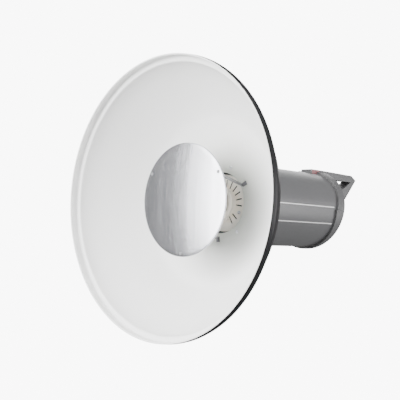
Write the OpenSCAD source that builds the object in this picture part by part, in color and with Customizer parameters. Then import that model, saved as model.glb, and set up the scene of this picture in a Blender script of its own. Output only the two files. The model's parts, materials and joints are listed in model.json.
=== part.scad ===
// Monolight strobe with a beauty dish on its bayonet and a tilting stand bracket.
// Millimetres, +Z up. The light axis runs along Y and the dish faces -Y.
// The origin is the centre of the mouth of the stand socket.

/* [Dish] */
// Outer diameter of the dish's rim
dish_d = 420; // [400:5:440]
// Depth from the rim to the mount face
dish_depth = 138; // [132:1:144]
// Depth of the short collar inside the rim
rim_h = 12; // [8:1:16]
// Width of the flat ledge inside the collar
ledge_w = 9.6; // [6:0.2:14]
// Thickness of the spun sheet
dish_sheet = 1.4; // [1:0.1:2]
// Diameter of the deflector disc
deflector_d = 171; // [150:1:185]
// Distance of the deflector in front of the mount face
deflector_gap = 87.4; // [70:0.2:100]

/* [Bayonet mount] */
// Diameter of the dish's bayonet tube
mount_d = 98; // [96:0.5:100]
// Outer diameter of the mount flange and of the receiver ring
flange_d = 128; // [124:1:130]
// Angle that each of the three lugs spans
lug_arc = 28; // [20:1:34]
// Angle that the dish turns from locked to free
twist = 40; // [36:1:44]
// Travel of the lock pin
pin_travel = 4; // [3:0.5:5]

/* [Head] */
// Outer diameter of the main shell
shell_d = 132; // [128:1:136]
// Wall thickness of the main shell
shell_wall = 2.2; // [1.6:0.1:3]
// Length of the front collar, from the mount face to the shell
collar_len = 37; // [34:1:42]
// Visible length of the main shell
shell_len = 183; // [170:1:190]
// Outer diameter of the rear cover
cover_d = 140; // [138:0.5:144]
// Length of the rear cover on the light axis
cover_len = 23.4; // [21:0.2:28]
// Lean of the rear panel
cover_tilt = 10; // [6:0.5:11]

/* [Handle] */
// Width of the carrying handle
handle_w = 22; // [18:1:26]
// Distance from the mount face to the handle's tip
handle_reach = 372; // [360:1:385]
// Height of the handle's top above the light axis
handle_top = 73; // [72:0.5:76]
// Height of the grip bar's underside above the light axis
grip_under = 60; // [58:0.5:62]

/* [Flash and lamp] */
// Diameter of the ring flash tube, to the middle of the glass
tube_ring_d = 47; // [42:1:48]
// Diameter of the flash tube's glass
tube_d = 6.4; // [5:0.2:8]
// Diameter of the modelling lamp's bulb
bulb_d = 25; // [22:1:27]
// Number of cooling slots in the flash pan
pan_slots = 20; // [12:1:24]

/* [Controls] */
// Diameter of the control dial
dial_d = 22; // [18:1:24]
// Travel of the push buttons
button_travel = 1; // [0.6:0.1:1.4]
// Diameter of the sync socket's hole
jack_d = 3.6; // [3.5:0.1:3.8]

/* [Stand bracket] */
// Diameter of the stand socket's hole, for a 5/8 inch spigot
socket_d = 16.3; // [16.1:0.1:16.6]
// Depth of the stand socket
socket_depth = 38; // [34:1:38]
// Height of the tilt axis above the socket's mouth
tilt_h = 56; // [55:1:60]
// Height of the light axis above the tilt axis
tilt_drop = 94; // [93:1:98]
// Distance of the stand axis behind the mount face
stand_back = 34; // [32:1:40]
// Diameter of the umbrella hole
umbrella_d = 8.4; // [8:0.1:8.6]

/* [Hidden] */
$fn = 96;
dish_r = dish_d / 2;
mount_r = mount_d / 2;
flange_r = flange_d / 2;
shell_r = shell_d / 2;
shell_in = shell_r - shell_wall;
cover_r = cover_d / 2;
face_y = -stand_back;
axis_z = tilt_h + tilt_drop;
cover_s = collar_len + shell_len;
rear_s = cover_s + cover_len;
gap = 0.1;       // between pieces of one body
run = 0.05;      // radial clearance of a shaft
free = 0.3;      // between pieces that move past each other

// Bowl of the dish: radius and distance behind the mount face, rim to hole.
ledge_r = dish_r - dish_sheet - ledge_w;
ledge_s = rim_h - dish_depth;
step_r = 136;
step_s = -33;
cone_r = 93;
cone_s = -8;
hole_r = mount_r - 1;
hole_s = -3.2;
ring_s = hole_s + dish_sheet + gap;
// Deflector posts lean outwards from the feet to the disc's edge.
post_angles = [30, 150, 270];
ring_rivet_turn = 40;    // from each post to the next ring rivet
foot_r = 58;
foot_half = 4;
tab_r = 80;
rivet_r = 1.6;
// Lock pin and its slot
pin_r = 2;
pin_at = 59;
pin_angle = 90;
notch_angles = [for (k = [0:2]) pin_angle + 120 * k - twist];
receiver_angles = [30, 150, 270];
// Flash pan and lamp
pan_r = 45;
pan_s = 6;
pan_screw_angles = [-25, 95, 215];
pan_screw_r = 35;
slot_from = 24.5;
slot_len = 12;
tube_s = -5;
tube_end = 14;
lamp_s = 21;
plate_s = 15.2;
tube_legs = [-104, -76];
// Inside the shell
vents = 8;
tray_z = -28;
board_z = -36;
board_posts = [for (x = [-36, 36]) for (s = [72, 196]) [x, s]];
sensor_s = 203;
fan_size = 60;
fan_s = 192;
fan_z = 6;
// Rear panel
panel_r = 62;
panel_t = 3;
spine_low = -8.5;
display = [46, 20];
button = [10, 7];
inlet_at = [32, 22];
rocker_at = [-22, 34];
fuse_at = [-44, 20];
jack_at = [-26, 12];
dial_at = [0, -46];
test_at = [22, -44];
screw_angles = [62, 118, 225, 315];
screw_at = 56;
boss_h = 6;
// Bracket
yoke_r = 14;
tongue_w = 16.8;
ear_in = 9.5;
ear_out = 19;
bolt_r = 5;
saddle_x = [-19, 22];
saddle_y = 22;
saddle_low = tilt_h + yoke_r + 0.6;
umbrella_x = 12;
umbrella_z = 76;
saddle_screws_at = [[-13, 15], [-13, -15], [2, 15], [2, -15]];
saddle_screw_head = 3.2;
stand_knob_z = 15;

// Places: the head frame has its Z along the light axis, rearwards from the mount face.
module head(s = 0) translate([0, face_y + s, axis_z]) rotate([-90, 0, 0]) children();
// Turns a child round the light axis, from +X towards +Z.
module around(a, r = 0) rotate([0, 0, -a]) translate([r, 0, 0]) children();
// The panel frame, seen by someone behind the light: X right, Y up, Z out of the panel.
module panel(at = [0, 0], out = 0)
    translate([0, face_y + rear_s, axis_z]) rotate([90 + cover_tilt, 0, 180])
        translate([at[0], at[1], out]) children();
// A side view, drawn as distance behind the mount face and height above the light axis.
module side_view(w)
    translate([-w / 2, face_y, axis_z]) rotate([90, 0, 90]) linear_extrude(w) children();
module along_x(x, y, z) translate([x, y, z]) rotate([0, 90, 0]) children();

module ring(outer, inner, h) difference() {
    cylinder(r = outer, h = h);
    translate([0, 0, -1]) cylinder(r = inner, h = h + 2);
}
module sector(from, to, outer, inner, h)
    rotate([0, 0, -to]) rotate_extrude(angle = to - from)
        translate([inner, 0]) square([outer - inner, h]);
module block(size) translate([-size[0] / 2, -size[1] / 2, 0]) cube(size);
module saddle_holes(z) for (p = saddle_screws_at) translate([p[0], p[1], z]) cylinder(r = 1.8, h = 40);
module screw(head_r, head_h, shank_r, shank_l) {
    difference() {
        translate([0, 0, -head_h]) cylinder(r = head_r, h = head_h);
        translate([0, 0, -head_h - 0.1]) block([head_r * 1.3, 0.7, 0.7]);
        translate([0, 0, -head_h - 0.1]) block([0.7, head_r * 1.3, 0.7]);
    }
    cylinder(r = shank_r, h = shank_l);
}
// A round knob along +Z with grip grooves, and its screw towards -Z.
module grip_knob(r, h, grooves) difference() {
    union() {
        cylinder(r = r, h = h - 1.5);
        translate([0, 0, h - 1.5]) cylinder(r1 = r, r2 = r - 1.5, h = 1.5);
    }
    for (k = [0:grooves - 1]) around(360 / grooves * k, r + r * 0.08)
        translate([0, 0, -1]) cylinder(r = r * 0.2, h = h + 2);
}
function bend(a, b, c, t) = (1 - t) * (1 - t) * a + 2 * t * (1 - t) * b + t * t * c;

// Dish
bowl_line = concat(
    [for (k = [0:12]) bend([ledge_r, ledge_s], [ledge_r - 3, -100], [step_r, step_s], k / 12)],
    [for (k = [1:6]) bend([step_r, step_s], [118, -16], [cone_r, cone_s], k / 6)],
    [[hole_r, hole_s]]);
module rivet_holes() for (a = post_angles) for (t = [0, ring_rivet_turn]) around(a + t, foot_r)
    translate([0, 0, -9]) cylinder(r = rivet_r + gap, h = 10);
module dish_shell() color("whitesmoke") head() difference() {
    rotate_extrude() polygon(concat(
        [[dish_r, -dish_depth], [dish_r - dish_sheet, -dish_depth],
            [dish_r - dish_sheet, ledge_s]],
        bowl_line,
        [for (k = [len(bowl_line) - 1:-1:0]) bowl_line[k]
            + dish_sheet * [k == 0 ? 0.3 : k < 19 ? 0.6 : 0, 1]],
        [[dish_r, ledge_s + dish_sheet]]));
    rivet_holes();
}
module dish_mount_ring() color("black") head() difference() {
    union() {
        translate([0, 0, ring_s]) ring(mount_r, mount_r - 1.5, 10);
        translate([0, 0, ring_s]) ring(flange_r, mount_r - 0.5, -ring_s);
        for (k = [0:2]) translate([0, 0, 5.8])
            sector(pin_angle + 120 * k - lug_arc / 2, pin_angle + 120 * k + lug_arc / 2,
                mount_r + 4.4, mount_r - 1, 2);
    }
    rivet_holes();
    translate([0, 0, -9]) sector(pin_angle - 3, pin_angle + 3 + twist / 2,
        pin_at + pin_r + free, pin_at - pin_r - free, 10);
}
module ring_rivets() color("silver") head() for (a = post_angles) around(a + ring_rivet_turn, foot_r) {
    translate([0, 0, -5.6]) cylinder(r1 = 1.8, r2 = 3, h = 1);
    translate([0, 0, -4.6]) cylinder(r = rivet_r, h = 4.4);
}
module deflector_disc() color("lightgray") head(-deflector_gap) difference() {
    union() {
        cylinder(r = deflector_d / 2, h = 1.5);
        translate([0, 0, 1.5]) ring(deflector_d / 2, deflector_d / 2 - 1.5, 1.5);
    }
    for (a = post_angles) around(a, tab_r) translate([0, 0, -1]) cylinder(r = rivet_r + gap, h = 4);
}
post_top = 1.6 - deflector_gap;
post_foot = -6.4;
post_t = 1.2;
post_w = 6;
post_side = [[foot_r + foot_half, post_foot], [foot_r + foot_half, post_foot + post_t],
    [foot_r - foot_half - 1, post_foot + post_t], [tab_r - 4, post_top], [tab_r + 3, post_top],
    [tab_r + 3, post_top + post_t], [tab_r - 4 + post_t, post_top + post_t],
    [foot_r - foot_half - 1 + post_t, post_foot]];
module deflector_posts() color("silver") head() for (a = post_angles) around(a) difference() {
    rotate([90, 0, 0]) linear_extrude(post_w, center = true) polygon(post_side);
    translate([foot_r, 0, post_foot - 1]) cylinder(r = rivet_r + gap, h = 3);
    translate([tab_r, 0, post_top - 1]) cylinder(r = rivet_r + gap, h = 3);
}
module deflector_rivets() color("gray") head() for (a = post_angles) {
    around(a, foot_r) {
        translate([0, 0, post_foot - 1.2]) cylinder(r = 2.6, h = 1.1);
        translate([0, 0, post_foot - 0.2]) cylinder(r = rivet_r, h = 6);
    }
    around(a, tab_r) {
        translate([0, 0, -deflector_gap - 1.4]) cylinder(r1 = 2.2, r2 = 3, h = 1.3);
        translate([0, 0, -deflector_gap - 0.2]) cylinder(r = rivet_r, h = 4.4);
    }
}

// Bayonet receiver, lock pin and front collar
module mount_receiver() color("dimgray") head() difference() {
    union() {
        translate([0, 0, free]) ring(flange_r, mount_r + 0.4, 5.1);
        translate([0, 0, 5.4]) ring(flange_r, mount_r + 8, 6.8);
    }
    for (a = notch_angles) translate([0, 0, -1])
        sector(a - lug_arc / 2 - 2, a + lug_arc / 2 + 2, mount_r + 5, mount_r - 2, 8);
    around(pin_angle, pin_at) cylinder(r = pin_r + run, h = 20);
    for (a = receiver_angles) around(a, pin_at + 1) {
        cylinder(r = 1.6, h = 20);
        translate([0, 0, free]) cylinder(r = 3, h = 1.9);
    }
}
module receiver_screws() color("silver") head() for (a = receiver_angles)
    around(a, pin_at + 1) translate([0, 0, 2.1]) screw(2.9, 1.7, 1.5, 12);
module lock_pin() color("silver") head() around(pin_angle, pin_at) {
    translate([0, 0, -1.4]) cylinder(r = pin_r, h = 30);
}
module release_slider() color("dimgray") head() around(pin_angle) {
    difference() {
        translate([pin_at - 4, -3, 16.5]) cube([shell_r + 1 - pin_at + 4, 6, 4]);
        translate([pin_at, 0, 10]) cylinder(r = pin_r + run, h = 20);
    }
    difference() {
        translate([shell_r + 0.6, -8, 11]) cube([4.4, 16, 15]);
        for (k = [0:3]) translate([shell_r + 4.4, -9, 13 + 3 * k]) cube([2, 18, 1.4]);
    }
}
module release_spring() color("silver") head(20.7) around(pin_angle, pin_at)
    ring(pin_r + 1.2, pin_r + gap, 7.5);
module front_collar() color("dimgray") difference() {
    head() union() {
        translate([0, 0, 1.5 + free]) ring(shell_r, flange_r + gap, 10.6 - free);
        translate([0, 0, free]) difference() {
            cylinder(r1 = shell_r - 1.2, r2 = shell_r, h = 1.5);
            translate([0, 0, -1]) cylinder(r = flange_r + gap, h = 4);
        }
        translate([0, 0, 12.2]) ring(shell_r, pan_r - 0.5, 2.8);
        translate([0, 0, 15]) ring(shell_r, shell_in, collar_len - 15);
    }
    head() around(pin_angle, pin_at) cylinder(r = pin_r + 0.2, h = 20);
    head() around(pin_angle) translate([pin_at, -3.4, 15.1]) cube([20, 6.8, 7 + pin_travel]);
    for (a = receiver_angles) head() around(a, pin_at + 1) cylinder(r = 1.6, h = 20);
    saddle_holes(tilt_h);
}

// Flash pan, tube and modelling lamp
module flash_pan() color("ivory") head(pan_s) difference() {
    union() {
        ring(pan_r, 16, 1.2);
        ring(pan_r, pan_r - 1.2, 6.2);
    }
    for (k = [0:pan_slots - 1]) let (a = 360 / pan_slots * k + 11)
        if (min([for (b = concat(pan_screw_angles, tube_legs)) abs((a - b + 540) % 360 - 180)]) > 7)
            around(a, slot_from) translate([slot_len / 2, 0, -1]) block([slot_len, 1.9, 4]);
    for (a = tube_legs) around(a, tube_ring_d / 2) translate([0, 0, -1]) cylinder(r = 5.2, h = 4);
    for (a = pan_screw_angles) around(a, pan_screw_r) translate([0, 0, -1]) cylinder(r = 1.5, h = 4);
}
module pan_screws() color("silver") head(pan_s - gap) for (a = pan_screw_angles)
    around(a, pan_screw_r) screw(2.6, 1.8, 1.4, 12);
module flash_tube() color("white") head() {
    translate([0, 0, tube_s]) rotate([0, 0, 104]) rotate_extrude(angle = 332)
        translate([tube_ring_d / 2, 0]) circle(d = tube_d);
    for (a = tube_legs) around(a, tube_ring_d / 2)
        translate([0, 0, tube_s]) cylinder(r = 2.4, h = tube_end - tube_s);
}
module tube_sockets() color("white") head(pan_s - 2) for (a = tube_legs)
    around(a, tube_ring_d / 2) ring(5, 2.4 + gap, plate_s - pan_s + 2);
module socket_plate() color("silver") head(plate_s) difference() {
    ring(54, 19.2, 1.5);
    for (a = pan_screw_angles) around(a, pan_screw_r) translate([0, 0, -1]) cylinder(r = 1.5, h = 4);
}
module lamp_bulb() color("white") head() {
    translate([0, 0, -8]) cylinder(d = bulb_d, h = 8 + lamp_s);
    intersection() {
        translate([0, 0, -8]) sphere(d = bulb_d);
        translate([-bulb_d, -bulb_d, -8 - bulb_d]) cube([2 * bulb_d, 2 * bulb_d, bulb_d]);
    }
}
module lamp_base() color("silver") head(lamp_s) {
    cylinder(r = 13.2, h = 17);
    translate([0, 0, 17]) cylinder(r1 = 13.2, r2 = 5, h = 4);
}
module lamp_socket() color("linen") head(23) difference() {
    union() {
        cylinder(r = 19, h = 30);
        translate([0, 0, 30]) cylinder(r = 12, h = 8);
    }
    translate([0, 0, -1]) cylinder(r = 13.3, h = 21);
}

// Main shell and what it holds
function shell_z(r, x) = axis_z - sqrt(r * r - x * x);
module main_shell() color("gray") difference() {
    head(collar_len) ring(shell_r, shell_in, shell_len + 6);
    for (row = [0, 1]) for (k = [0:vents - 1])
        head(118 + 40 * row) around(270 + (k - (vents - 1) / 2) * 3.6, shell_r)
            translate([-5, -0.9, 0]) cube([10, 1.8, 30]);
    saddle_holes(tilt_h);
    head(sensor_s) around(90, 0) rotate([0, 90, 0]) cylinder(r = 4.1, h = 80);
}
module chassis_tray() color("silver") difference() {
    union() {
        translate([-50, face_y + 62, axis_z + tray_z]) cube([100, 146, 1.5]);
        for (x = [-50, 48.5]) translate([x, face_y + 62, axis_z + tray_z]) cube([1.5, 146, 8]);
    }
    for (p = board_posts) translate([p[0], face_y + p[1], axis_z + tray_z - 1])
        cylinder(r = 1.6, h = 4);
}
module flash_capacitors() color("midnightblue") for (x = [-18.5, 18.5]) for (z = [-8.4, 27.6])
    translate([0, 0, z]) head(66) translate([x, 0, 0]) {
        cylinder(r = 17.5, h = 82);
        translate([0, 0, 82]) cylinder(r = 15.5, h = 2);
        for (t = [-5, 5]) translate([t, 0, 84]) cylinder(r = 1.5, h = 4);
    }
module main_board() color("darkgreen") difference() {
    translate([-44, face_y + 64, axis_z + board_z]) cube([88, 140, 1.6]);
    for (p = board_posts) translate([p[0], face_y + p[1], axis_z + board_z - 1])
        cylinder(r = 1.6, h = 4);
}
module board_standoffs() color("gold") for (p = board_posts)
    translate([p[0], face_y + p[1], axis_z + board_z + 1.6]) difference() {
        cylinder(r = 3, h = tray_z - board_z - 1.6, $fn = 6);
        translate([0, 0, -1]) cylinder(r = 1.5, h = 10);
    }
module transformer_core() color("darkslategray") translate([0, face_y + 100, axis_z + board_z - 22])
    difference() {
        block([30, 36, 22]);
        for (x = [-1, 1]) translate([x * 9, 0, 4]) block([8, 50, 14]);
    }
module transformer_winding() color("peru") translate([0, face_y + 100, axis_z + board_z - 18])
    difference() {
        translate([0, 0, 0.4]) block([25, 32, 13.2]);
        translate([0, 0, -1]) block([10.2, 50, 20]);
    }
module heat_sink() color("silver") translate([-38, face_y + 156, axis_z + tray_z + 1.5]) {
    cube([30, 28, 4]);
    for (k = [0:6]) translate([k * 4.6, 0, 0]) cube([2, 28, 34]);
}
module power_transistors() color("black") for (k = [0, 1])
    translate([-7.8, face_y + 158 + 13 * k, axis_z + tray_z + 8]) cube([4.6, 10.5, 16]);
module trigger_coil() color("maroon") translate([0, 0, tray_z + 13.6]) head(158) translate([22, 0, 0]) {
    cylinder(r = 9, h = 22);
    for (s = [0, 20]) translate([0, 0, s]) cylinder(r = 12, h = 2);
}
module fan_frame() color("dimgray") translate([0, 0, fan_z]) head(fan_s) difference() {
    union() {
        difference() {
            block([fan_size, fan_size, 15]);
            translate([0, 0, -1]) cylinder(r = fan_size / 2 - 1.5, h = 17);
        }
        cylinder(r = 11, h = 2);
        for (a = [45:90:315]) around(a) translate([9, -1.5, 0]) cube([21, 3, 2]);
    }
    for (x = [-25, 25]) for (y = [-25, 25]) translate([x, y, -1]) cylinder(r = 2.1, h = 20);
}
module fan_rotor() color("black") translate([0, 0, fan_z]) head(fan_s + 2.6) {
    cylinder(r = 12, h = 11);
    for (k = [0:6]) around(360 / 7 * k) translate([11, 0, 5.5]) rotate([38, 0, 0])
        translate([0, -7, -0.6]) cube([16, 14, 1.2]);
}

// Rear covers with the handle
module cover_blank() {
    difference() {
        intersection() {
            head(cover_s) cylinder(r = cover_r, h = 60);
            panel([0, 0], -70) block([180, 180, 70]);
        }
        head(cover_s - 1) cylinder(r = shell_r + gap, h = 7.1);
        panel([0, 0], -panel_t) cylinder(r = panel_r + gap, h = 20);
        panel([0, 0], -60) cylinder(r = panel_r - 4, h = 70);
    }
    for (a = screw_angles) panel([cos(a), sin(a)] * screw_at, -panel_t - boss_h)
        ring(3.4, 1.6, boss_h);
}
// In front of its leaning edge the upper cover is flush with the shell.
edge_low = [cover_s + 2, 0];
edge_high = [cover_s + 23, 75];
module cover_relief() difference() {
    side_view(3 * cover_r) polygon([[cover_s - 9, -1], edge_low - [0, 1], edge_low, edge_high,
        [cover_s - 9, edge_high[1]]]);
    head(cover_s - 10) cylinder(r = shell_r, h = 60);
}
// Handle outline: along the grip bar, round the tip and down the strut to the panel.
insert_back = 251;
strut_tip = [handle_reach, grip_under + 3.3];
handle_outline = [[241, 64], [insert_back, handle_top], [handle_reach - 15, handle_top - 1.6],
    strut_tip, [strut_tip[0] - 34.4, 25.7], [262, -9], [240, spine_low + 1], [250, grip_under]];
grip_opening = [[254.4, grip_under], [handle_reach - 17, grip_under], [handle_reach - 34, 49],
    [258, 10], [245.6, 10]];
module insert_outline(grow = 0) polygon([[216 - grow, 60], [224.4 - grow, handle_top + grow],
    [insert_back - gap + 2 * grow, handle_top + grow], [241 - gap + 2 * grow, 64],
    [241 - gap + 2 * grow, 60]]);
module rear_cover_upper() color("gray") difference() {
    union() {
        difference() {
            intersection() {
                cover_blank();
                translate([-100, -50, axis_z + gap / 2]) cube([200, 500, 100]);
            }
            cover_relief();
        }
        intersection() {
            panel([0, 28], -panel_t) block([handle_w, 2 * (28 - spine_low), panel_t]);
            head(cover_s) cylinder(r = cover_r - 1, h = 60);
        }
        difference() {
            side_view(handle_w) polygon(handle_outline);
            side_view(handle_w + 2) polygon(grip_opening);
            panel([0, 0], -60 - panel_t) block([180, 180, 60]);
        }
        intersection() {
            side_view(handle_w) polygon([[236, 62], [241, 72], [253, 72], [253, 60], [240, 60]]);
            head(cover_s) ring(cover_r + 4, panel_r, 60);
        }
    }
    difference() {
        side_view(handle_w + 2 * gap) insert_outline(gap);
        head(200) cylinder(r = shell_r, h = 60);
    }
}
module handle_insert() color("indianred") difference() {
    side_view(handle_w) insert_outline();
    head(200) cylinder(r = shell_r + gap, h = 60);
}
module rear_cover_lower() color("gray") intersection() {
    cover_blank();
    translate([-100, -50, axis_z - gap / 2 - 100]) cube([200, 500, 100]);
}

// Control panel
module button_box(at, grow = 0, low = -5, high = button_travel + free)
    panel(at, low) block([button[0] + 2 * grow, button[1] + 2 * grow, high - low]);
button_spots = [[-34, -14], [-34, -28], [34, -14], [34, -28]];
module control_panel() color("black") difference() {
    panel([0, 0], -panel_t) cylinder(r = panel_r, h = panel_t);
    panel([0, 40], -10) block([handle_w + 2 * gap, 2 * (40 - spine_low) + 2 * gap, 20]);
    panel([0, -22], -1.3) block([display[0] + 2 * gap, display[1] + 2 * gap, 5]);
    panel([0, -22], -10) block([display[0] - 6, display[1] - 6, 20]);
    for (at = button_spots) button_box(at, free, -10, 5);
    panel(test_at, -10) cylinder(r = 4.5 + free, h = 20);
    panel(dial_at, -10) cylinder(r = 3 + run, h = 20);
    panel(inlet_at, -10) block([27 + 2 * gap, 20 + 2 * gap, 20]);
    panel(rocker_at, -10) block([13 + 2 * free, 20 + 2 * free, 20]);
    panel(fuse_at, -10) cylinder(r = 5 + gap, h = 20);
    panel(jack_at, -10) cylinder(r = 3.5 + gap, h = 20);
    for (a = screw_angles) panel([cos(a), sin(a)] * screw_at, -10) cylinder(r = 1.6, h = 20);
}
module control_board() color("darkgreen") difference() {
    panel([0, -28], -12) block([68, 36, 1.6]);
    panel(dial_at, -15) cylinder(r = 3.4, h = 10);
}
module display_window() color("darkslategray") panel([0, -22], -1.2)
    block([display[0], display[1], 1.5]);
module control_dial() color("dimgray") {
    panel(dial_at, 0.5) grip_knob(dial_d / 2, 9, 24);
    panel(dial_at, -11) cylinder(r = 3, h = 12);
}
module button_mode() color("gray") button_box(button_spots[0]);
module button_lamp() color("gray") button_box(button_spots[1]);
module button_slave() color("gray") button_box(button_spots[2]);
module button_sound() color("gray") button_box(button_spots[3]);
module test_button() color("firebrick") panel(test_at, -5) cylinder(r = 4.5, h = 6.5);
module power_rocker() color("black") intersection() {
    panel(rocker_at, -6) rotate([0, 90, 0]) translate([0, 0, -6.5]) difference() {
        cylinder(r = 9.6, h = 13);
        translate([-20, -20, -1]) cube([11.6, 20, 15]);
        translate([-20, 0, -1]) cube([12.4, 20, 15]);
    }
    panel(rocker_at, -16) block([13, 20, 22]);
}
module ac_inlet() color("black") difference() {
    union() {
        panel(inlet_at, 0) block([30, 24, 2]);
        panel(inlet_at, -18) block([27, 20, 18]);
    }
    panel(inlet_at, -15) block([24, 16.4, 30]);
}
module inlet_contacts() color("silver") for (t = [[-7, -2], [0, 2], [7, -2]])
    panel(inlet_at + t, -15) block([2, 4, 12]);
module fuse_cap() color("black") {
    panel(fuse_at, -14) cylinder(r = 5, h = 14.2);
    difference() {
        panel(fuse_at, 0.1) cylinder(r = 6.5, h = 4);
        panel(fuse_at, 3) block([10, 1.4, 4]);
    }
}
module sync_jack() color("silver") difference() {
    union() {
        panel(jack_at, -14) cylinder(r = 3.5, h = 14.2);
        panel(jack_at, 0.1) cylinder(r = 5, h = 2.4, $fn = 6);
    }
    panel(jack_at, -12) cylinder(d = jack_d, h = 20);
}
module slave_sensor() color("black") intersection() {
    head(sensor_s) around(90, 0) rotate([0, 90, 0]) {
        cylinder(r = 4, h = shell_r + 0.4);
        translate([0, 0, shell_r - 2.1]) sphere(r = 4);
    }
    head(190) ring(shell_r + 4, shell_in - 3, 30);
}
module panel_screws() color("silver") for (a = screw_angles)
    panel([cos(a), sin(a)] * screw_at, gap) rotate([180, 0, 0]) screw(2.9, 1.6, 1.5, 6);

// Stand bracket
module tilt_saddle() color("dimgray") difference() {
    union() {
        translate([saddle_x[0], -saddle_y, saddle_low])
            cube([saddle_x[1] - saddle_x[0], 2 * saddle_y, 20]);
        along_x(-tongue_w / 2, 0, tilt_h) cylinder(r = yoke_r, h = tongue_w);
        translate([-tongue_w / 2, -yoke_r, tilt_h]) cube([tongue_w, 2 * yoke_r, 16]);
    }
    head() cylinder(r = shell_r + gap, h = 200);
    along_x(-50, 0, tilt_h) cylinder(r = bolt_r + run, h = 100);
    translate([umbrella_x, saddle_y + 1, umbrella_z]) rotate([90, 0, 0])
        cylinder(d = umbrella_d, h = 2 * saddle_y + 2);
    along_x(umbrella_x, 0, umbrella_z) cylinder(r = 2.5 + run, h = 20);
    saddle_holes(saddle_low + 3);
}
module saddle_screws() color("silver") for (p = saddle_screws_at)
    translate([p[0], p[1], shell_z(shell_in, abs(p[0]) + saddle_screw_head) + 2 * gap])
        rotate([180, 0, 0]) screw(saddle_screw_head, 2, 1.7, 9);
module umbrella_knob() color("black") {
    along_x(umbrella_x + umbrella_d / 2 + 0.4, 0, umbrella_z) cylinder(r = 2.5, h = 8);
    along_x(saddle_x[1] + 0.6, 0, umbrella_z) grip_knob(7, 14, 8);
}
module stand_yoke() color("dimgray") difference() {
    union() {
        cylinder(r = yoke_r, h = socket_depth);
        translate([-ear_out, -yoke_r, 30]) cube([2 * ear_out, 2 * yoke_r, 11]);
        for (side = [0, 1]) mirror([side, 0, 0]) {
            along_x(ear_in, 0, tilt_h) cylinder(r = yoke_r, h = ear_out - ear_in);
            translate([ear_in, -yoke_r, 40]) cube([ear_out - ear_in, 2 * yoke_r, tilt_h - 40]);
        }
    }
    translate([0, 0, -1]) cylinder(d = socket_d, h = socket_depth + 1);
    along_x(-50, 0, tilt_h) cylinder(r = bolt_r + run, h = 100);
    along_x(-30, 0, stand_knob_z) cylinder(r = 3 + run, h = 30);
}
module tilt_bolt() color("silver") {
    along_x(-30, 0, tilt_h) cylinder(r = bolt_r, h = 30 + ear_out + gap);
    along_x(ear_out + gap, 0, tilt_h) cylinder(r = 8.5, h = 5.5, $fn = 6);
}
module tilt_washers() color("white") for (side = [0, 1]) mirror([side, 0, 0])
    along_x(tongue_w / 2 + 0.1, 0, tilt_h) ring(yoke_r - 1, bolt_r + run, 0.9);
module tilt_knob() color("black") difference() {
    union() {
        along_x(-34, 0, tilt_h) cylinder(r = 11, h = 34 - ear_out - 0.6);
        translate([-40, 0, tilt_h - 5]) block([12, 40, 10]);
        for (y = [-20, 20]) translate([-40, y, tilt_h - 5]) cylinder(r = 6, h = 10);
    }
    along_x(-31, 0, tilt_h) cylinder(r = bolt_r + run, h = 20);
}
module stand_knob() color("black") {
    along_x(-yoke_r - 0.6, 0, stand_knob_z) rotate([180, 0, 0]) grip_knob(11, 18, 6);
    along_x(-yoke_r - 1, 0, stand_knob_z) cylinder(r = 3, h = yoke_r + 1 - socket_d / 2 - 0.4);
}

dish_shell();
dish_mount_ring();
ring_rivets();
deflector_disc();
deflector_posts();
deflector_rivets();
mount_receiver();
receiver_screws();
lock_pin();
release_slider();
release_spring();
front_collar();
flash_pan();
pan_screws();
flash_tube();
tube_sockets();
socket_plate();
lamp_bulb();
lamp_base();
lamp_socket();
main_shell();
chassis_tray();
flash_capacitors();
main_board();
board_standoffs();
transformer_core();
transformer_winding();
heat_sink();
power_transistors();
trigger_coil();
fan_frame();
fan_rotor();
rear_cover_upper();
handle_insert();
rear_cover_lower();
control_panel();
control_board();
display_window();
control_dial();
button_mode();
button_lamp();
button_slave();
button_sound();
test_button();
power_rocker();
ac_inlet();
inlet_contacts();
fuse_cap();
sync_jack();
slave_sensor();
panel_screws();
tilt_saddle();
saddle_screws();
umbrella_knob();
stand_yoke();
tilt_bolt();
tilt_washers();
tilt_knob();
stand_knob();
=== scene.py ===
import json
import math

import bmesh
import bpy
from mathutils import Matrix, Vector


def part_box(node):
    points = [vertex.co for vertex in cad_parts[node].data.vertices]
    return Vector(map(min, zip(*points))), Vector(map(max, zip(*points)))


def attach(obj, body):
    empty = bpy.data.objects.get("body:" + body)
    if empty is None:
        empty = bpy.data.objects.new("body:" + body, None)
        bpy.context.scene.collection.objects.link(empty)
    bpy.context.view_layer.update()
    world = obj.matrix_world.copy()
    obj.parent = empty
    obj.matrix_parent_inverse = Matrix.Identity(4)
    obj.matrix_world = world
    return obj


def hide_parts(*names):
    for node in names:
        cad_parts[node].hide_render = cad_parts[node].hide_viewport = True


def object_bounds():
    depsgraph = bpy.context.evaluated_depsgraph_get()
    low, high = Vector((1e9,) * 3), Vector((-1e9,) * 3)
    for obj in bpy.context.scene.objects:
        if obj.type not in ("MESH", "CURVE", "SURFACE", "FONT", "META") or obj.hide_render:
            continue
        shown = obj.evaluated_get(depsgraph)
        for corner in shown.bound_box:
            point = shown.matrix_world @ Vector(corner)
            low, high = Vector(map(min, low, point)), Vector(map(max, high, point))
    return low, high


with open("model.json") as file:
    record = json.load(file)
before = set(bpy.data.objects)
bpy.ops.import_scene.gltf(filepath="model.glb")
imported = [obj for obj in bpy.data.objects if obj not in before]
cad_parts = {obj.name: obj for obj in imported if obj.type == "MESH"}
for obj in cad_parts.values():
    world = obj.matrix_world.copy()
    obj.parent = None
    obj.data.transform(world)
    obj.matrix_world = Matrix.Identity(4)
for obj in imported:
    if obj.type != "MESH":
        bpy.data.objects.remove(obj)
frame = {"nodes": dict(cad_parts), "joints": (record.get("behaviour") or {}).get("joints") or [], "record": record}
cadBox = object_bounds()
nodes = frame["nodes"]
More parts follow.
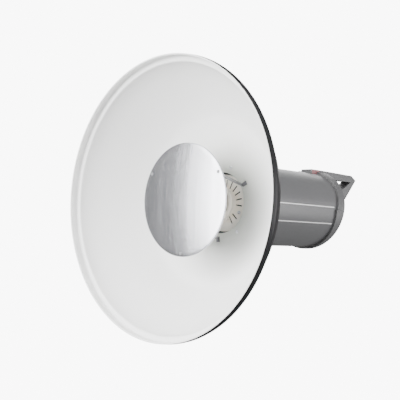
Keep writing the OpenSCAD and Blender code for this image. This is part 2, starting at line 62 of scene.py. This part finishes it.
nodeBody = {node: body for body, group in frame["record"]["behaviour"]["bodies"].items() for node in group}
nodeSlot = {part["node"]: part["material_slot"] for part in frame["record"]["subparts"]}
mm = 0.001

# every place comes from the frame
dishLow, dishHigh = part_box("dish_shell")
shellLow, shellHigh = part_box("main_shell")
lightAxis = Vector((0, 0, (dishLow.z + dishHigh.z) / 2))
rimRadius = (dishHigh.x - dishLow.x) / 2
shellRadius = (shellHigh.z - shellLow.z) / 2
mountFace = next(joint for joint in frame["joints"] if joint["name"] == "dish_twist")["pos_m"][1]

print("stage: camera, light and floor")
camera = {
    "place": (0.7899, -0.9138, 0.1030), "aim": (-0.6890, 0.7236, 0.0423), "roll": 2.3,
    "lens": 67.5, "sensor": 36, "near": 0.01, "far": 60,
}


def makeCamera():
    data = bpy.data.cameras.new("studioCamera")
    data.lens = camera["lens"]
    data.sensor_width = camera["sensor"]
    data.clip_start = camera["near"]
    data.clip_end = camera["far"]
    eye = bpy.data.objects.new("studioCamera", data)
    turn = Vector(camera["aim"]).to_track_quat("-Z", "Y").to_matrix().to_4x4()
    roll = Matrix.Rotation(math.radians(camera["roll"]), 4, "Z")
    eye.matrix_world = Matrix.Translation(camera["place"]) @ turn @ roll
    bpy.context.scene.collection.objects.link(eye)
    bpy.context.scene.camera = eye


lamps = {
    "key": {"place": (-0.6, -2.8, 0.7), "size": 2.6, "power": 330},
    "sideFront": {"place": (2.3, -0.1, 0.1), "size": 1.2, "power": 34},
    "sideRear": {"place": (1.9, 1.6, 0.1), "size": 1.2, "power": 30},
    "above": {"place": (0.9, -0.6, 2.0), "size": 1.6, "power": 34},
    "rear": {"place": (-1.4, 2.2, 0.9), "size": 1.4, "power": 24},
}
lampAim = Vector((0, 0.05, 0.15))


def makeLamp(name, place, size, power):
    data = bpy.data.lights.new(name, "AREA")
    data.shape = "SQUARE"
    data.size = size
    data.energy = power
    lamp = bpy.data.objects.new(name, data)
    aim = (lampAim - Vector(place)).to_track_quat("-Z", "Y")
    lamp.matrix_world = Matrix.Translation(place) @ aim.to_matrix().to_4x4()
    lamp.visible_camera = False
    bpy.context.scene.collection.objects.link(lamp)


world = {"seen": 9.0, "ambient": 0.3}


def makeWorld():
    # the eye sees bright paper, while the object gets a gentler light from all round
    sky = bpy.data.worlds.new("whiteStudio")
    sky.use_nodes = True
    tree = sky.node_tree
    ground = tree.nodes["Background"]
    ground.inputs["Color"].default_value = (1, 1, 1, 1)
    ray = tree.nodes.new("ShaderNodeLightPath")
    level = tree.nodes.new("ShaderNodeMapRange")
    level.inputs["To Min"].default_value = world["ambient"]
    level.inputs["To Max"].default_value = world["seen"]
    tree.links.new(ray.outputs["Is Camera Ray"], level.inputs["Value"])
    tree.links.new(level.outputs["Result"], ground.inputs["Strength"])
    bpy.context.scene.world = sky


floor = {"side": 9, "drop": 0.75}


def makeFloor():
    bm = bmesh.new()
    bmesh.ops.create_grid(bm, x_segments=1, y_segments=1, size=floor["side"] / 2)
    bmesh.ops.translate(bm, verts=bm.verts, vec=(0, 0, cadBox[0].z - floor["drop"]))
    mesh = bpy.data.meshes.new("paleFloor")
    bm.to_mesh(mesh)
    bm.free()
    ground = bpy.data.objects.new("paleFloor", mesh)
    bpy.context.scene.collection.objects.link(ground)
    finish = Finish("paleFloor", rough=1.0, Emission_Strength=world["seen"], Specular_IOR_Level=0.0)
    finish.shader.inputs["Emission Color"].default_value = (1, 1, 1, 1)
    finish.feed(color=(0.1, 0.1, 0.1))
    mesh.materials.append(finish.material)
    ground.visible_diffuse = False
    ground.visible_glossy = False
    ground.visible_shadow = False


class Wire:
    # one node output, so that maths on a surface reads as an ordinary expression
    def __init__(self, finish, socket):
        self.finish = finish
        self.socket = socket

    def do(self, operation, *values):
        return self.finish.node("Math", {"operation": operation}, dict(enumerate(values)))

    def __add__(self, other):
        return self.do("ADD", self, other)

    def __radd__(self, other):
        return self.do("ADD", other, self)

    def __sub__(self, other):
        return self.do("SUBTRACT", self, other)

    def __rsub__(self, other):
        return self.do("SUBTRACT", other, self)

    def __mul__(self, other):
        return self.do("MULTIPLY", self, other)

    def __rmul__(self, other):
        return self.do("MULTIPLY", other, self)

    def __truediv__(self, other):
        return self.do("DIVIDE", self, other)

    def __gt__(self, other):
        return self.do("GREATER_THAN", self, other)

    def __lt__(self, other):
        return self.do("LESS_THAN", self, other)

    def distance(self, place):
        return self.do("ABSOLUTE", self - place)

    def between(self, low, high):
        return (self > low) * (self < high)

    def clamped(self):
        return self.finish.node("Clamp", {}, {"Value": self})


class Finish:
    def __init__(self, name, rough=0.5, metal=0.0, **constants):
        self.material = bpy.data.materials.new(name)
        self.material.use_nodes = True
        self.tree = self.material.node_tree
        self.shader = self.tree.nodes["Principled BSDF"]
        self.shader.inputs["Roughness"].default_value = rough
        self.shader.inputs["Metallic"].default_value = metal
        for socket, value in constants.items():
            self.shader.inputs[socket.replace("_", " ")].default_value = value

    def plug(self, socket, value):
        if isinstance(value, Wire):
            self.tree.links.new(value.socket, socket)
        elif socket.type == "RGBA" and len(value) == 3:
            socket.default_value = (*value, 1)
        else:
            socket.default_value = value

    def node(self, kind, settings, inputs, output=0):
        made = self.tree.nodes.new("ShaderNode" + kind)
        for name, value in settings.items():
            setattr(made, name, value)
        for name, value in inputs.items():
            self.plug(made.inputs[name], value)
        return Wire(self, made.outputs[output])

    def place(self, centre=(0, 0, 0), scale=(1, 1, 1)):
        coords = self.node("TexCoord", {}, {}, "Object")
        shift = [-c * s for c, s in zip(centre, scale)]
        return self.node("Mapping", {}, {"Vector": coords, "Location": shift, "Scale": scale})

    def axes(self, vector):
        return [self.node("SeparateXYZ", {}, {"Vector": vector}, axis) for axis in range(3)]

    def along(self, vector, direction):
        return self.node("VectorMath", {"operation": "DOT_PRODUCT"}, {0: vector, 1: direction}, 1)

    def noise(self, vector, scale, detail=3, rough=0.55):
        inputs = {"Vector": vector, "Scale": scale, "Detail": detail, "Roughness": rough}
        return self.node("TexNoise", {}, inputs)

    def mix(self, factor, first, second):
        inputs = {0: factor, 6: first, 7: second}
        return self.node("Mix", {"data_type": "RGBA"}, inputs, 2)

    def bump(self, height, strength, distance):
        return self.node("Bump", {}, {"Height": height, "Strength": strength, "Distance": distance})

    def feed(self, color=None, rough=None, normal=None):
        links = {"Base Color": color, "Roughness": rough, "Normal": normal}
        for name, value in links.items():
            if value is not None:
                self.plug(self.shader.inputs[name], value)
        return self.material


print("stage: finishes")
# colours for the painted shade round the hub, where the deflector's shadow falls
hubShade = {"reach": 1.3, "fade": 0.098, "clean": (0.92, 0.92, 0.915), "dull": (0.47, 0.49, 0.44)}


def dishWhite():
    # satin enamel, with painted shade in the zone round the hub that the deflector keeps dim
    finish = Finish("dishWhite", rough=0.5, Specular_IOR_Level=0.35)
    place = finish.place(centre=lightAxis)
    x, y, z = finish.axes(place)
    radius = x.do("SQRT", x * x + z * z)
    # painted shade: the deflector's shadow round the hub is mixed into the enamel's colour
    zone = (hubShade["reach"] - radius / hubShade["fade"]).clamped()
    dull = zone * (0.85 + 0.5 * finish.noise(place, 14, 3))
    color = finish.mix(dull.clamped(), hubShade["clean"], hubShade["dull"])
    grain = finish.noise(place, 900, 2)
    sheen = 0.46 + 0.12 * finish.noise(place, 14)
    return finish.feed(color=color, rough=sheen, normal=finish.bump(grain, 0.1, 0.00012))


def dishBlack():
    finish = Finish("dishBlack", Specular_IOR_Level=0.25)
    place = finish.place()
    patch = finish.noise(place, 9, 4)
    color = finish.mix(patch, (0.009, 0.009, 0.010), (0.017, 0.017, 0.019))
    grain = finish.noise(place, 1100, 2)
    return finish.feed(color=color, rough=0.34 + 0.14 * patch, normal=finish.bump(grain, 0.1, 0.0001))


def brushed(name, color, rough, scale):
    # brush lines run up and down
    finish = Finish(name, metal=1.0)
    lines = finish.noise(finish.place(scale=(scale, scale, scale / 70)), 1, 5, 0.7)
    bands = finish.noise(finish.place(scale=(60, 60, 2)), 1, 3)
    streaks = (lines * 0.9 + bands * 1.1 - 0.35).clamped()
    shade = finish.mix(streaks, [0.5 * c for c in color], [1.08 * c for c in color])
    normal = finish.bump(lines + bands * 3, 0.3, 0.00012)
    return finish.feed(color=shade, rough=rough + 0.16 * (lines - 0.5), normal=normal)


def plainMetal(name, color, rough, wear=0.2):
    finish = Finish(name, metal=1.0)
    place = finish.place()
    blotch = finish.noise(place, 60, 4)
    scratch = finish.noise(finish.place(scale=(900, 60, 60)), 1, 2)
    shade = finish.mix(blotch, [0.8 * c for c in color], color)
    normal = finish.bump(scratch, 0.12, 0.0001)
    return finish.feed(color=shade, rough=rough + wear * (blotch - 0.5), normal=normal)


def moulded(name, color, rough, grain=0.3, scale=1400, **constants):
    finish = Finish(name, **constants)
    place = finish.place()
    cloud = finish.noise(place, 18, 3)
    pits = finish.noise(place, scale, 2)
    shade = finish.mix(cloud, [0.9 * c for c in color], [1.1 * c for c in color])
    polish = rough + 0.12 * (cloud - 0.5) + 0.1 * (pits - 0.5)
    return finish.feed(color=shade, rough=polish, normal=finish.bump(pits, grain, 0.0002))


stripes = {"angles": (3.8, -21.4), "width": 1.7 * mm, "end": 2.5 * mm}


def shellPaint():
    # grey powder coat with two printed lines along the near side
    finish = Finish("shellPaint", rough=0.4, Coat_Weight=0.1, Coat_Roughness=0.3)
    place = finish.place(centre=lightAxis)
    x, y, z = finish.axes(place)
    angle = z.do("ARCTAN2", z, x)
    half = stripes["width"] / 2 / shellRadius
    lines = [angle.distance(math.radians(a)) < half for a in stripes["angles"]]
    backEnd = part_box("rear_cover_lower")[0].y - stripes["end"]
    mask = (lines[0] + lines[1]) * (y < backEnd)
    cloud = finish.noise(place, 16, 3)
    pits = finish.noise(place, 1500, 2)
    paint = finish.mix(cloud, (0.118, 0.118, 0.122), (0.14, 0.14, 0.145))
    color = finish.mix(mask, paint, (0.86, 0.86, 0.86))
    rough = 0.38 + 0.1 * (cloud - 0.5) + 0.08 * (pits - 0.5)
    return finish.feed(color=color, rough=rough, normal=finish.bump(pits, 0.22, 0.00018))


panHeat = {"radius": 0.026, "spread": 0.012, "tint": (0.76, 0.66, 0.53)}


def panEnamel():
    # cream enamel, yellowed a little under the ring tube, with painted shade on the slot walls and rim
    finish = Finish("panEnamel", rough=0.45)
    place = finish.place(centre=lightAxis)
    x, y, z = finish.axes(place)
    radius = x.do("SQRT", x * x + z * z)
    heat = (1 - radius.distance(panHeat["radius"]) / panHeat["spread"]).clamped()
    enamel = finish.mix(heat * finish.noise(place, 60, 3), (0.83, 0.80, 0.72), panHeat["tint"])
    # painted shade: faces that do not look along the light axis, the slot walls and rim, get a near-black colour
    facing = finish.axes(finish.node("TexCoord", {}, {}, "Normal"))[1].distance(0)
    color = finish.mix(facing < 0.75, enamel, (0.035, 0.033, 0.03))
    grain = finish.bump(finish.noise(place, 800), 0.15, 0.0002)
    return finish.feed(color=color, rough=0.4 + 0.2 * finish.noise(place, 40), normal=grain)


def frosted():
    finish = Finish("frostedGlass", rough=0.35, Transmission_Weight=0.35, IOR=1.47,
                    Coat_Weight=0.5, Coat_Roughness=0.08)
    place = finish.place()
    color = finish.mix(finish.noise(place, 70), (0.93, 0.90, 0.82), (0.86, 0.80, 0.68))
    return finish.feed(color=color, rough=0.3 + 0.15 * finish.noise(place, 120))


def glossy(name, color, rough=0.08, **constants):
    finish = Finish(name, Coat_Weight=0.6, Coat_Roughness=0.04, **constants)
    dust = finish.noise(finish.place(), 240, 4)
    shade = finish.mix(dust, color, [c + 0.006 for c in color])
    return finish.feed(color=shade, rough=rough + 0.1 * dust)


def boardGreen():
    finish = Finish("boardGreen", rough=0.35, Coat_Weight=0.3)
    place = finish.place()
    tracks = finish.node("TexBrick", {}, {"Vector": finish.place(scale=(90, 90, 90)), "Scale": 1.0}, 1)
    color = finish.mix(tracks * 0.6, (0.02, 0.13, 0.05), (0.04, 0.2, 0.08))
    return finish.feed(color=color, rough=0.3 + 0.1 * finish.noise(place, 200))


def copperTurns():
    finish = Finish("copperTurns", metal=0.7)
    wave = finish.node("TexWave", {}, {"Vector": finish.place(scale=(1, 900, 1)), "Scale": 1.0}, 1)
    color = finish.mix(wave, (0.30, 0.10, 0.03), (0.62, 0.26, 0.10))
    return finish.feed(color=color, rough=0.3 + 0.1 * wave, normal=finish.bump(wave, 0.5, 0.0003))


dialJoint = next(joint for joint in frame["joints"] if joint["name"] == "dial_turn")
panelOut = Vector(dialJoint["axis"]).normalized()
panelUp = Vector((0, -panelOut.z, panelOut.y))
printed = {
    "ring": (13.2, 15.6), "marks": 11, "sweep": 300, "markTop": 10.5,
    "frame": (25, 12), "frameHeight": 24, "line": 0.5,
    "bars": ((-34, 25.3), (-34, 11.3), (34, 25.3), (34, 11.3)), "barHalf": 4,
}  # millimetres from the dial's centre


def panelPrint():
    # black panel with dial marks, a line round the display and a bar under each key
    finish = Finish("panelPrint", Specular_IOR_Level=0.4)
    place = finish.place(centre=dialJoint["pos_m"], scale=(1000, 1000, 1000))
    u = finish.along(place, (-1, 0, 0))
    v = finish.along(place, panelUp)
    radius = u.do("SQRT", u * u + v * v)
    turn = u.do("ARCTAN2", u, v) * (printed["marks"] / math.radians(printed["sweep"]))
    mark = turn.do("ABSOLUTE", turn.do("FRACT", turn + 0.5) - 0.5) < 0.06
    marks = mark * radius.between(*printed["ring"]) * (turn.do("ABSOLUTE", turn) < printed["marks"] / 2)
    line = printed["line"]
    width, height = printed["frame"]
    u0, v0 = u.distance(0), v.distance(printed["frameHeight"])
    outer = (u0 < width + line) * (v0 < height + line)
    inner = (u0 < width) * (v0 < height)
    white = marks * (v < printed["markTop"]) + outer * (1 - inner)
    for x, y in printed["bars"]:
        white = white + (u.distance(x) < printed["barHalf"]) * (v.distance(y) < line)
    cloud = finish.noise(place, 0.02, 3)
    pits = finish.noise(place, 1.6, 2)
    black = finish.mix(cloud, (0.014, 0.014, 0.016), (0.022, 0.022, 0.024))
    color = finish.mix(white.clamped(), black, (0.7, 0.7, 0.7))
    return finish.feed(color=color, rough=0.34 + 0.1 * pits, normal=finish.bump(pits, 0.12, 0.0002))


insertSplit = 0.2  # the grey share of its length


def insertPlastic():
    # two-shot moulding: red behind, the cover's grey at its front end
    finish = Finish("insertPlastic")
    place = finish.place()
    low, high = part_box("handle_insert")
    front = finish.axes(place)[1] < low.y + insertSplit * (high.y - low.y)
    cloud = finish.noise(place, 18, 3)
    pits = finish.noise(place, 1300, 2)
    red = finish.mix(cloud, (0.29, 0.125, 0.135), (0.35, 0.155, 0.165))
    color = finish.mix(front, red, (0.118, 0.118, 0.121))
    return finish.feed(color=color, rough=0.42 + 0.1 * (pits - 0.5), normal=finish.bump(pits, 0.25, 0.0002))


finishes = {
    "dish_enamel": dishWhite(),
    "black_steel": moulded("blackSteel", (0.012, 0.012, 0.013), 0.38, 0.15),
    "bright_steel": plainMetal("brightSteel", (0.60, 0.60, 0.62), 0.28),
    "brushed_aluminium": brushed("brushedAluminium", (0.58, 0.585, 0.615), 0.24, 1500),
    "black_plastic": moulded("blackPlastic", (0.022, 0.022, 0.024), 0.48),
    "dark_casting": moulded("greyCasting", (0.12, 0.12, 0.124), 0.42, 0.3, 1100),
    "pan_enamel": panEnamel(),
    "frosted_glass": frosted(),
    "ceramic": moulded("ceramic", (0.80, 0.76, 0.68), 0.3, 0.1, 500),
    "nickel": plainMetal("nickel", (0.66, 0.63, 0.56), 0.18, 0.12),
    "shell_paint": shellPaint(),
    "tray_aluminium": plainMetal("trayAluminium", (0.74, 0.74, 0.76), 0.35),
    "capacitor_sleeve": glossy("capacitorSleeve", (0.02, 0.04, 0.13), 0.25),
    "board_green": boardGreen(),
    "brass": plainMetal("brass", (0.72, 0.52, 0.22), 0.25),
    "ferrite": moulded("ferrite", (0.045, 0.045, 0.05), 0.6),
    "winding": copperTurns(),
    "cover_plastic": moulded("coverPlastic", (0.118, 0.118, 0.121), 0.45, 0.35, 1300),
    "red_plastic": insertPlastic(),
    "panel_black": panelPrint(),
    "display_glass": glossy("displayGlass", (0.008, 0.02, 0.028)),
    "dial_plastic": moulded("dialPlastic", (0.045, 0.045, 0.048), 0.42),
    "key_rubber": moulded("keyRubber", (0.23, 0.23, 0.235), 0.7, 0.4, 900),
    "sensor_dome": glossy("sensorDome", (0.02, 0.004, 0.005), 0.06),
    "bracket_paint": moulded("bracketPaint", (0.04, 0.04, 0.043), 0.42, 0.4, 900),
    "washer_nylon": moulded("washerNylon", (0.74, 0.73, 0.68), 0.5),
}
dishOutside = dishBlack()
postSteel = plainMetal("postSteel", (0.27, 0.27, 0.28), 0.36)


def makePiece(name, bm, body, replaced, materials, smooth):
    mesh = bpy.data.meshes.new(name)
    bm.to_mesh(mesh)
    bm.free()
    for material in materials:
        mesh.materials.append(material)
    mesh.shade_smooth()
    mesh.set_sharp_from_angle(angle=math.radians(smooth))
    piece = bpy.data.objects.new(name, mesh)
    bpy.context.scene.collection.objects.link(piece)
    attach(piece, body)
    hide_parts(replaced)
    return piece


def addModifier(piece, kind, **settings):
    modifier = piece.modifiers.new(kind.lower(), kind)
    for name, value in settings.items():
        setattr(modifier, name, value)


def spinRound(bm, profile, steps, centre):
    # profile points are (radius, distance along the light axis)
    verts = [bm.verts.new((r, y, centre.z)) for r, y in profile]
    edges = [bm.edges.new(pair) for pair in zip(verts, verts[1:])]
    bmesh.ops.spin(bm, geom=verts + edges, cent=centre, axis=(0, 1, 0), angle=math.tau,
                   steps=steps, use_merge=True)
    bmesh.ops.remove_doubles(bm, verts=bm.verts, dist=1e-6)
    bmesh.ops.recalc_face_normals(bm, faces=bm.faces)


def bend(start, middle, end, steps):
    # points of one smooth bend, without its first point
    def spot(t):
        return tuple((1 - t) ** 2 * a + 2 * t * (1 - t) * b + t * t * c for a, b, c in zip(start, middle, end))

    return [spot(k / steps) for k in range(1, steps + 1)]


print("stage: dish")
dish = {
    "sheet": 1.3, "bead": 1.6, "wall": 1.4, "swell": 0.7, "ledge": 9.6, "collar": 12.0, "corner": 3.5,
    "bowl": (3.0, 100), "knee": (136, 33), "kneePull": (118, 16), "cone": (93, 8), "flat": (72, 5.76),
    "hole": (48, 3.2), "steps": 180,
}  # pairs are a radius and a distance in front of the mount face


def makeDish():
    front, mountY = dishLow.y, mountFace
    spots = {name: (dish[name][0] * mm, mountY - dish[name][1] * mm)
             for name in ("knee", "kneePull", "cone", "flat", "hole")}
    sheet, bead, swell, corner = (dish[name] * mm for name in ("sheet", "bead", "swell", "corner"))
    ledgeRadius = rimRadius - sheet - dish["ledge"] * mm
    ledgeY = front + dish["collar"] * mm
    wall = rimRadius - dish["wall"] * mm
    tight = 0.4 * mm  # the collar's rounding

    turns = [math.radians(degrees) for degrees in range(60, 240, 20)]
    profile = [(rimRadius - bead + bead * math.cos(a), front + bead - bead * math.sin(a)) for a in turns]
    bandY = front + 2 * bead
    profile += [(wall - 4 * swell * (k / 4 - 0.5) ** 2, bandY + (ledgeY - bandY) * k / 4) for k in range(4)]
    profile += [(wall - swell, ledgeY - tight), (wall - swell - tight, ledgeY), (ledgeRadius + corner, ledgeY)]
    profile += bend(profile[-1], (ledgeRadius, ledgeY), (ledgeRadius - 0.3 * mm, ledgeY + corner), 6)
    inward, ahead = dish["bowl"]
    profile += bend(profile[-1], (ledgeRadius - inward * mm, mountY - ahead * mm), spots["knee"], 24)
    profile += bend(spots["knee"], spots["kneePull"], spots["cone"], 12)
    profile += [spots["flat"], spots["hole"]]

    bm = bmesh.new()
    spinRound(bm, profile, dish["steps"], lightAxis)
    if sum(face.normal.y * face.calc_area() for face in bm.faces) > 0:
        bmesh.ops.reverse_faces(bm, faces=bm.faces)  # the white side looks forward
    sides = [finishes["dish_enamel"], dishOutside]
    piece = makePiece("dishBowl", bm, "dish", "dish_shell", sides, 50)
    addModifier(piece, "SOLIDIFY", thickness=sheet, offset=-1, material_offset=1, material_offset_rim=0)


makeDish()

print("stage: deflector")
deflector = {"bow": 4.5, "lip": 2.6, "sheet": 1.2, "edge": 0.8, "rings": 12, "steps": 144}


def makeDeflector():
    low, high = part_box("deflector_disc")
    radius, front = (high.x - low.x) / 2, low.y
    sheet, edge, lip = deflector["sheet"] * mm, deflector["edge"] * mm, deflector["lip"] * mm

    def bowed(r, depth):
        return (r, front + depth - deflector["bow"] * mm * (1 - (r / radius) ** 2))

    spans = [(radius - edge) * k / deflector["rings"] for k in range(deflector["rings"] + 1)]
    profile = [bowed(r, 0) for r in spans]
    profile += bend(profile[-1], (radius, front), (radius, front + edge), 4)
    profile += [(radius, front + lip), (radius - sheet, front + lip), (radius - sheet, front + sheet + edge)]
    profile += [bowed(r, sheet) for r in reversed(spans) if r < radius - 2 * sheet]
    bm = bmesh.new()
    spinRound(bm, profile, deflector["steps"], lightAxis)
    plate = finishes["brushed_aluminium"]
    makePiece("deflectorPlate", bm, "dish", "deflector_disc", [plate], 40)


makeDeflector()

print("stage: softened nodes")
softness = {
    0.5: ["front_collar", "rear_cover_lower", "tilt_saddle", "stand_yoke", "tilt_knob", "umbrella_knob",
          "stand_knob"],
    0.3: ["control_panel", "power_rocker", "ac_inlet", "release_slider", "button_mode", "button_lamp",
          "button_slave", "button_sound", "test_button", "fuse_cap", "control_dial", "tilt_bolt",
          "display_window", "handle_insert"],
    0.15: ["deflector_posts", "deflector_rivets", "ring_rivets", "panel_screws", "sync_jack", "flash_pan",
           "pan_screws"],
}  # the width in millimetres, and the nodes that get it
handleSoftness = {"cover": 0.4, "handle": 1.1, "behindPanel": 6}
sharpAngle, flatAngle = 38, 0.6  # degrees
ownFinish = {"deflector_posts": postSteel, "deflector_rivets": postSteel}


def softened(name, width, wide=0, wideFrom=math.inf):
    # a copy of a node with its sharp edges rounded; edges behind wideFrom are rounded more
    bm = bmesh.new()
    bm.from_mesh(nodes[name].data)
    bmesh.ops.remove_doubles(bm, verts=bm.verts, dist=2e-6)
    bmesh.ops.dissolve_limit(bm, angle_limit=math.radians(flatAngle), verts=bm.verts, edges=bm.edges)
    for radius, chosen in ((wide, True), (width, False)):
        edges = [edge for edge in bm.edges if len(edge.link_faces) == 2
                 and edge.calc_face_angle(0) > math.radians(sharpAngle)
                 and (min(v.co.y for v in edge.verts) > wideFrom) == chosen]
        if radius and edges:
            bmesh.ops.bevel(bm, geom=edges, offset=radius * mm, segments=3, profile=0.5, affect="EDGES",
                            material=-1, clamp_overlap=True)
    material = ownFinish.get(name, finishes[nodeSlot[name]])
    title = "".join(word.capitalize() for word in name.split("_"))
    piece = makePiece("soft" + title, bm, nodeBody[name], name, [material], 40)
    addModifier(piece, "WEIGHTED_NORMAL", keep_sharp=True)


for width, names in softness.items():
    for name in names:
        softened(name, width)
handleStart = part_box("control_panel")[1].y + handleSoftness["behindPanel"] * mm
softened("rear_cover_upper", handleSoftness["cover"], handleSoftness["handle"], handleStart)

print("stage: carried-over nodes")
for name, node in nodes.items():
    if not node.hide_render:
        node.data.materials.clear()
        node.data.materials.append(finishes[nodeSlot[name]])

makeCamera()
makeWorld()
makeFloor()
for name, lamp in lamps.items():
    makeLamp(name, **lamp)

print("stage: finish")
